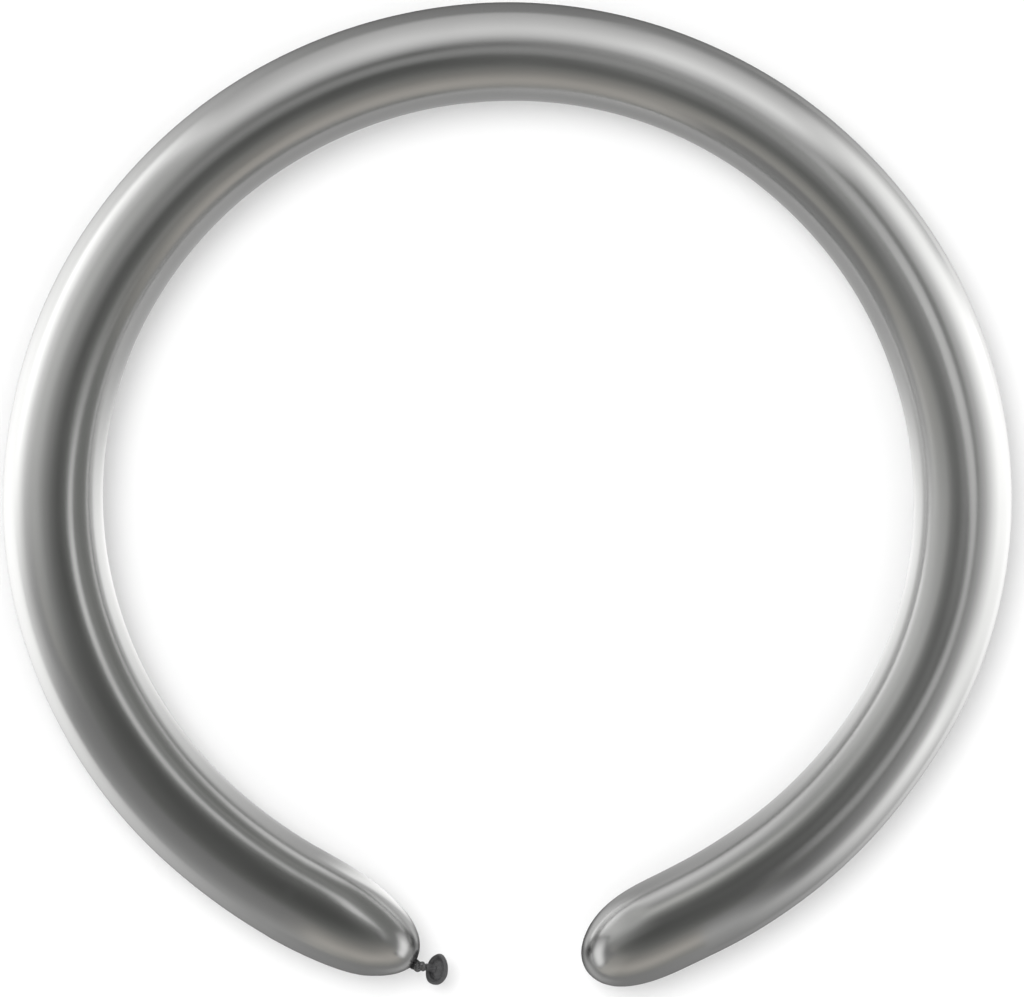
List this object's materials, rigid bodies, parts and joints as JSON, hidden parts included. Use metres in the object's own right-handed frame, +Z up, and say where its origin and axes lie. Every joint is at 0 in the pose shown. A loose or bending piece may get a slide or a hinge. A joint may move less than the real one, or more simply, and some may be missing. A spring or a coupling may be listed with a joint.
{
  "type": "modelling balloon",
  "caption": "Long thin inflated latex balloon in a metallic finish, bent into an open ring, with an overhand knot, short neck and rolled mouth at one end.",
  "frame": {"origin": "middle of the ring's bounding box, on the floor that the ring lies on", "axes": "+Z up off the floor, +X to the right across the ring's longest way, +Y away from the gap between the two ends"},
  "size_m": [0.5243, 0.5117, 0.0525],
  "materials": {
    "envelope": "metallised latex film, glossy",
    "knot": "latex at rest, dark and satin",
    "neck_stem": "latex at rest, dark and satin",
    "mouth_flare": "latex at rest, dark and satin",
    "rolled_lip": "latex at rest, dark and satin"
  },
  "bodies": {
    "balloon": {"envelope": "envelope", "knot": "knot"},
    "tail": {"neck_stem": "neck_stem", "mouth_flare": "mouth_flare", "rolled_lip": "rolled_lip"}
  },
  "joints": [
    {"name": "tail_flex", "type": "hinge", "parent": "balloon", "child": "tail", "pos_m": [-0.04212, -0.2456, 0.02319], "axis": [0, 0, 1], "range_deg": [-70, 35], "stiffness_Nm_per_rad": 0.0001}
  ]
}
